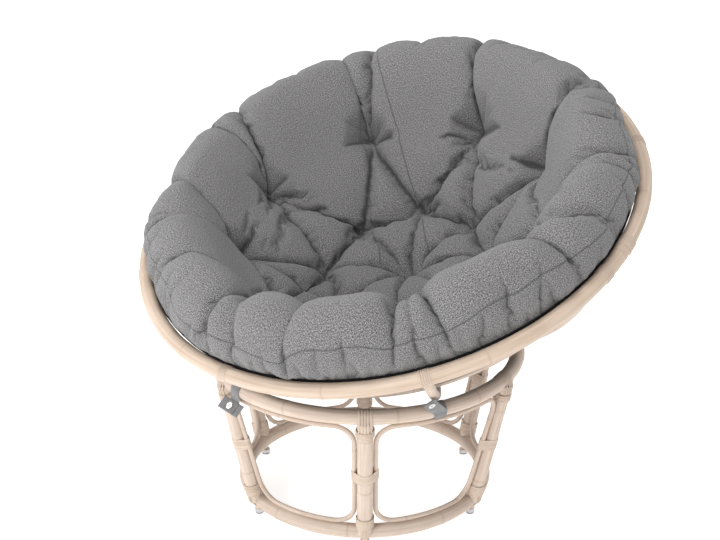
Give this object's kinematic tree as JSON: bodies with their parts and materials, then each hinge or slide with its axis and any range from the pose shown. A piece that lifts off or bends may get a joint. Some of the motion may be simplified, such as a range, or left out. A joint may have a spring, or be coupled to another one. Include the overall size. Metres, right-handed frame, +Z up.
{
  "type": "papasan chair",
  "caption": "Round rattan bowl chair with a thick tufted cushion, resting tilted on a ring base with leather straps.",
  "frame": {"origin": "on the floor, at the middle of the ring of feet", "axes": "+Z up; the bowl opens towards -Y; +X to the right as seen from its front"},
  "size_m": [1.1036, 1.0295, 0.8818],
  "materials": {
    "rattan_rim": "satin",
    "rattan_pole": "satin",
    "rattan_strip": "satin",
    "dowel_wood": "matte",
    "foot_metal": "satin",
    "foot_pad": "matte",
    "nail_steel": "satin",
    "cushion_weave": "matte",
    "underside_cloth": "matte",
    "tuft_cord": "matte",
    "strap_leather": "matte",
    "snap_metal": "satin"
  },
  "bodies": {
    "base": {"base_top_ring": "rattan_pole", "base_bottom_ring": "rattan_pole", "ring_splice_dowels": "dowel_wood", "post_head_dowels": "dowel_wood", "foot_dowels": "dowel_wood", "base_post_1": "rattan_pole", "base_post_2": "rattan_pole", "base_post_3": "rattan_pole", "base_post_4": "rattan_pole", "base_post_5": "rattan_pole", "base_post_6": "rattan_pole", "foot_cups": "foot_metal", "foot_pads": "foot_pad", "base_loop_1": "rattan_pole", "base_loop_2": "rattan_pole", "base_loop_3": "rattan_pole", "base_loop_4": "rattan_pole", "base_loop_5": "rattan_pole", "base_loop_6": "rattan_pole", "head_strips": "rattan_strip", "foot_strips": "rattan_strip", "head_windings": "rattan_strip", "foot_windings": "rattan_strip", "middle_windings": "rattan_strip", "strap_left_band": "strap_leather", "strap_left_snap_stud": "snap_metal", "strap_right_band": "strap_leather", "strap_right_snap_stud": "snap_metal"},
    "bowl": {"bowl_rim": "rattan_rim", "rim_splice_dowel": "dowel_wood", "bowl_rib_1": "rattan_pole", "bowl_rib_2": "rattan_pole", "bowl_rib_3": "rattan_pole", "bowl_rib_4": "rattan_pole", "bowl_rib_5": "rattan_pole", "bowl_rib_6": "rattan_pole", "bowl_rib_7": "rattan_pole", "bowl_rib_8": "rattan_pole", "bowl_hub_hoop": "rattan_pole", "bowl_middle_hoop": "rattan_pole", "bowl_upper_hoop": "rattan_pole", "bowl_nails": "nail_steel", "rim_strips": "rattan_strip", "rim_windings": "rattan_strip", "rim_splice_winding": "rattan_strip"},
    "cushion": {"cushion": "cushion_weave", "cushion_underside": "underside_cloth", "tuft_ties": "tuft_cord"},
    "strap_left": {"strap_left_tab": "strap_leather", "strap_left_snap_cap": "snap_metal"},
    "strap_right": {"strap_right_tab": "strap_leather", "strap_right_snap_cap": "snap_metal"}
  },
  "joints": [
    {"name": "bowl_tilt", "type": "hinge", "parent": "base", "child": "bowl", "pos_m": [0, 0, 0.82055], "axis": [1, 0, 0], "range_deg": [-21.6, 2.5]},
    {"name": "cushion_lift", "type": "slide", "parent": "bowl", "child": "cushion", "axis": [0, -0.3681, 0.9298], "range_m": [0, 0.3]},
    {"name": "strap_left_open", "type": "hinge", "parent": "base", "child": "strap_left", "pos_m": [-0.04269, -0.34, 0.31122], "axis": [0.129, 0.7319, 0.6691], "range_deg": [0, 100]},
    {"name": "strap_right_open", "type": "hinge", "parent": "base", "child": "strap_right", "pos_m": [0.31525, -0.14969, 0.34303], "axis": [0.5823, 0.5821, 0.5675], "range_deg": [0, 100]}
  ]
}
